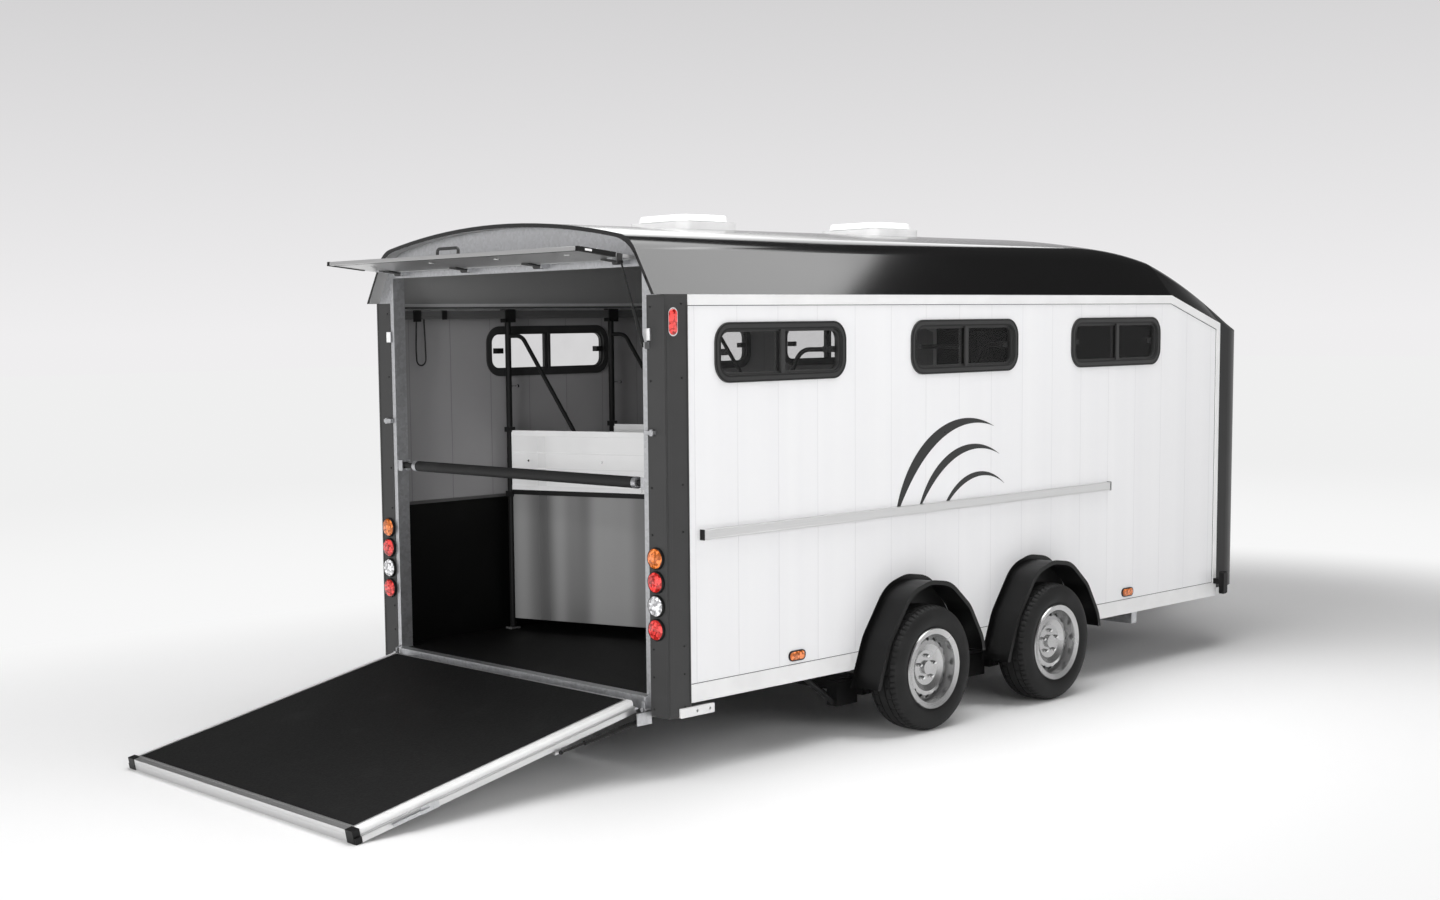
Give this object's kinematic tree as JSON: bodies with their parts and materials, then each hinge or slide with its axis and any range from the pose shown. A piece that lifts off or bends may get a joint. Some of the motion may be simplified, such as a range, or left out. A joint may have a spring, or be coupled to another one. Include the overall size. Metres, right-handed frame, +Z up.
{
  "type": "horse trailer",
  "caption": "Enclosed tandem-axle livestock trailer with a lowered rear ramp, a raised rear flap, slanted stalls, a nose and a jockey wheel.",
  "frame": {"origin": "middle of the tow ball in the coupling head", "axes": "+X forward to the towing vehicle, +Y left, +Z up"},
  "size_m": [7.5067, 2.426, 2.466],
  "materials": {
    "white_panel": "smooth white aluminium planks",
    "white_rail": "white coated profiles",
    "black_moulding": "gloss black moulding",
    "dark_post": "dark grey coated steel",
    "galvanised": "hot-dip galvanised steel",
    "black_steel": "black painted steel",
    "grey_board": "grey phenolic board",
    "floor_rubber": "black rubber mat",
    "kick_plastic": "black kick boards",
    "frame_plastic": "dark grey window frames",
    "window_glass": "clear acrylic panes",
    "vent_plastic": "white vents",
    "guard_plastic": "black mudguards",
    "lamp_lens": "round lamps",
    "marker_lens": "marker lamps",
    "rail_aluminium": "anodised rails",
    "partition_steel": "galvanised partition frame",
    "board_white": "white aluminium board",
    "padding": "padded breech bar",
    "ramp_rubber": "black ramp mat",
    "ramp_underside": "aluminium ramp panel",
    "flap_sheet": "aluminium flap",
    "tyre": "road tyre",
    "rim_steel": "silver steel rim",
    "jockey_rubber": "solid rubber wheel",
    "rope_fibre": "black rope"
  },
  "bodies": {
    "root": {"roof_shell": "black_moulding", "nose_shell": "black_moulding", "side_wall_left": "white_panel", "side_wall_right": "white_panel", "window_frames": "frame_plastic", "window_panes": "window_glass", "edge_rails": "white_rail", "rub_rails": "white_rail", "kick_boards": "kick_plastic", "floor_board": "grey_board", "floor_mat": "floor_rubber", "chassis_frame": "galvanised", "rear_posts": "dark_post", "rear_strips": "galvanised", "side_brackets": "white_rail", "rear_sill": "galvanised", "rear_header": "galvanised", "axles": "galvanised", "axle_brackets": "black_steel", "mudguards": "guard_plastic", "rear_lamps": "lamp_lens", "marker_lamps": "marker_lens", "roof_vents": "vent_plastic", "interior_rails": "rail_aluminium", "bar_holders": "galvanised", "drawbar": "galvanised", "overrun_unit": "black_steel", "coupling_head": "black_steel", "jockey_outer_tube": "galvanised", "rope_loop": "rope_fibre"},
    "ramp": {"ramp_panel": "ramp_underside", "ramp_mat": "ramp_rubber", "ramp_frame": "white_rail", "ramp_latches": "galvanised"},
    "flap": {"flap_panel": "flap_sheet", "flap_fittings": "black_steel"},
    "ramp_spring_case": {"ramp_spring_cases": "black_steel"},
    "ramp_spring_rod": {"ramp_spring_rods": "rail_aluminium"},
    "flap_strut_case": {"flap_strut_cylinder": "black_steel"},
    "flap_strut_rod": {"flap_strut_piston": "rail_aluminium"},
    "breech_bar": {"breech_bar": "padding"},
    "jockey_tube": {"jockey_inner_tube": "galvanised"},
    "jockey_fork": {"jockey_fork": "galvanised"},
    "jockey_wheel": {"jockey_wheel": "jockey_rubber"},
    "partition_1": {"partition_1_frame": "partition_steel", "partition_1_board": "board_white"},
    "partition_2": {"partition_2_frame": "partition_steel", "partition_2_board": "board_white"},
    "partition_3": {"partition_3_frame": "partition_steel", "partition_3_board": "board_white"},
    "wheel_rear_left": {"tyre_rear_left": "tyre", "rim_rear_left": "rim_steel"},
    "wheel_rear_right": {"tyre_rear_right": "tyre", "rim_rear_right": "rim_steel"},
    "wheel_front_left": {"tyre_front_left": "tyre", "rim_front_left": "rim_steel"},
    "wheel_front_right": {"tyre_front_right": "tyre", "rim_front_right": "rim_steel"}
  },
  "joints": [
    {"name": "ramp_hinge", "type": "hinge", "parent": "root", "child": "ramp", "pos_m": [-5.995, 0, -0.10922], "axis": [0, 1, 0], "range_deg": [0, 101.2]},
    {"name": "flap_hinge", "type": "hinge", "parent": "root", "child": "flap", "pos_m": [-5.985, 0, 1.773], "axis": [0, -1, 0], "range_deg": [0, 96.1]},
    {"name": "ramp_spring_pivot", "type": "hinge", "parent": "root", "child": "ramp_spring_case", "pos_m": [-6.023, 0, -0.179], "axis": [0, 1, 0], "range_deg": [-0.5, 97.35]},
    {"name": "ramp_spring_slide", "type": "slide", "parent": "ramp_spring_case", "child": "ramp_spring_rod", "axis": [-0.9902, 0, -0.1394], "range_m": [-0.001, 0.1112]},
    {"name": "flap_strut_pivot", "type": "hinge", "parent": "root", "child": "flap_strut_case", "pos_m": [-5.97, -0.913, 1.42], "axis": [0, 1, 0], "range_deg": [-0.5, 20.5]},
    {"name": "flap_strut_slide", "type": "slide", "parent": "flap_strut_case", "child": "flap_strut_rod", "axis": [0.3307, 0, -0.9437], "range_m": [-0.001, 0.1199]},
    {"name": "breech_bar_swing", "type": "hinge", "parent": "root", "child": "breech_bar", "pos_m": [-5.92, 0.862, 0.835], "axis": [1, 0, 0], "range_deg": [0, 30]},
    {"name": "partition_1_swing", "type": "hinge", "parent": "root", "child": "partition_1", "pos_m": [-5.176, 0.945, -0.078], "axis": [0, 0, 1], "range_deg": [0, 16]},
    {"name": "partition_2_swing", "type": "hinge", "parent": "root", "child": "partition_2", "pos_m": [-4.446, 0.945, -0.078], "axis": [0, 0, 1], "range_deg": [0, 16]},
    {"name": "partition_3_swing", "type": "hinge", "parent": "root", "child": "partition_3", "pos_m": [-3.716, 0.945, -0.078], "axis": [0, 0, 1], "range_deg": [0, 57]},
    {"name": "wheel_rear_left_spin", "type": "hinge", "parent": "root", "child": "wheel_rear_left", "pos_m": [-4.374, 1.1205, -0.13], "axis": [0, 1, 0], "continuous": true},
    {"name": "wheel_rear_right_spin", "type": "hinge", "parent": "root", "child": "wheel_rear_right", "pos_m": [-4.374, -1.1205, -0.13], "axis": [0, 1, 0], "continuous": true},
    {"name": "wheel_front_left_spin", "type": "hinge", "parent": "root", "child": "wheel_front_left", "pos_m": [-3.365, 1.1205, -0.13], "axis": [0, 1, 0], "continuous": true},
    {"name": "wheel_front_right_spin", "type": "hinge", "parent": "root", "child": "wheel_front_right", "pos_m": [-3.365, -1.1205, -0.13], "axis": [0, 1, 0], "continuous": true},
    {"name": "jockey_slide", "type": "slide", "parent": "root", "child": "jockey_tube", "axis": [0, 0, 1], "range_m": [0, 0.18]},
    {"name": "jockey_swivel", "type": "hinge", "parent": "jockey_tube", "child": "jockey_fork", "pos_m": [-0.62, 0.225, -0.224], "axis": [0, 0, 1], "continuous": true},
    {"name": "jockey_spin", "type": "hinge", "parent": "jockey_fork", "child": "jockey_wheel", "pos_m": [-0.665, 0.225, -0.33], "axis": [0, 1, 0], "continuous": true}
  ],
  "couplings": [
    {"joint": "ramp_spring_pivot", "follows": "ramp_hinge", "ratio": 0.95699},
    {"joint": "ramp_spring_slide", "follows": "ramp_hinge", "m_per_rad": 0.06242},
    {"joint": "flap_strut_pivot", "follows": "flap_hinge", "ratio": 0.20814},
    {"joint": "flap_strut_slide", "follows": "flap_hinge", "m_per_rad": 0.07088}
  ]
}
